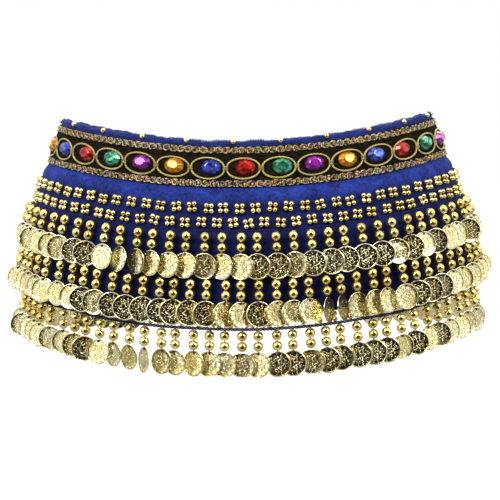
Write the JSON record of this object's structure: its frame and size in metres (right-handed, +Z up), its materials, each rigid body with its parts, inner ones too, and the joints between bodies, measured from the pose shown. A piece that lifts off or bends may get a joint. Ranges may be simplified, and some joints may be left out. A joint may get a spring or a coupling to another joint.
{
  "type": "belly dance hip scarf",
  "caption": "Blue velvet hip scarf in its round worn form, with a jewelled braid, rows of coin drops and a knotted opening at the back.",
  "frame": {"origin": "middle of the oval ring that goes round the hips, at the mean height of its top edge", "axes": "+Z up, the front faces -Y, +X is to the right as seen from the front, the opening with the knot is at +Y"},
  "size_m": [0.418, 0.2735, 0.2058],
  "materials": {
    "velvet": "royal blue stretch velvet with a soft nap",
    "braid": "black ground with gold cord and sequins",
    "crochet": "blue crocheted yarn",
    "gold": "thin gold plated coins and shiny gold beads",
    "stone_red": "clear faceted acrylic with a foil back",
    "stone_green": "clear faceted acrylic with a foil back",
    "stone_purple": "clear faceted acrylic with a foil back",
    "stone_amber": "clear faceted acrylic with a foil back",
    "stone_blue": "clear faceted acrylic with a foil back"
  },
  "bodies": {
    "root": {"velvet_panel": "velvet", "strap_left": "velvet", "strap_right": "velvet", "strap_tail_left": "velvet", "strap_tail_right": "velvet", "knot": "velvet", "jewel_braid": "braid", "crochet_edge": "crochet", "drops_upper": "gold", "drops_middle": "gold", "drops_hem": "gold", "stone_01_purple": "stone_purple", "stone_02_amber": "stone_amber", "stone_03_blue": "stone_blue", "stone_04_red": "stone_red", "stone_05_green": "stone_green", "stone_06_purple": "stone_purple", "stone_07_amber": "stone_amber", "stone_08_blue": "stone_blue", "stone_09_red": "stone_red", "stone_10_green": "stone_green", "stone_11_purple": "stone_purple", "stone_12_amber": "stone_amber", "stone_13_blue": "stone_blue", "stone_14_red": "stone_red", "stone_15_green": "stone_green", "stone_16_purple": "stone_purple", "stone_17_amber": "stone_amber", "stone_18_blue": "stone_blue", "stone_19_red": "stone_red", "stone_20_green": "stone_green", "stone_21_purple": "stone_purple", "stone_22_amber": "stone_amber", "stone_23_blue": "stone_blue", "stone_24_red": "stone_red", "stone_25_green": "stone_green", "stone_26_purple": "stone_purple", "stone_27_amber": "stone_amber"}
  },
  "joints": []
}
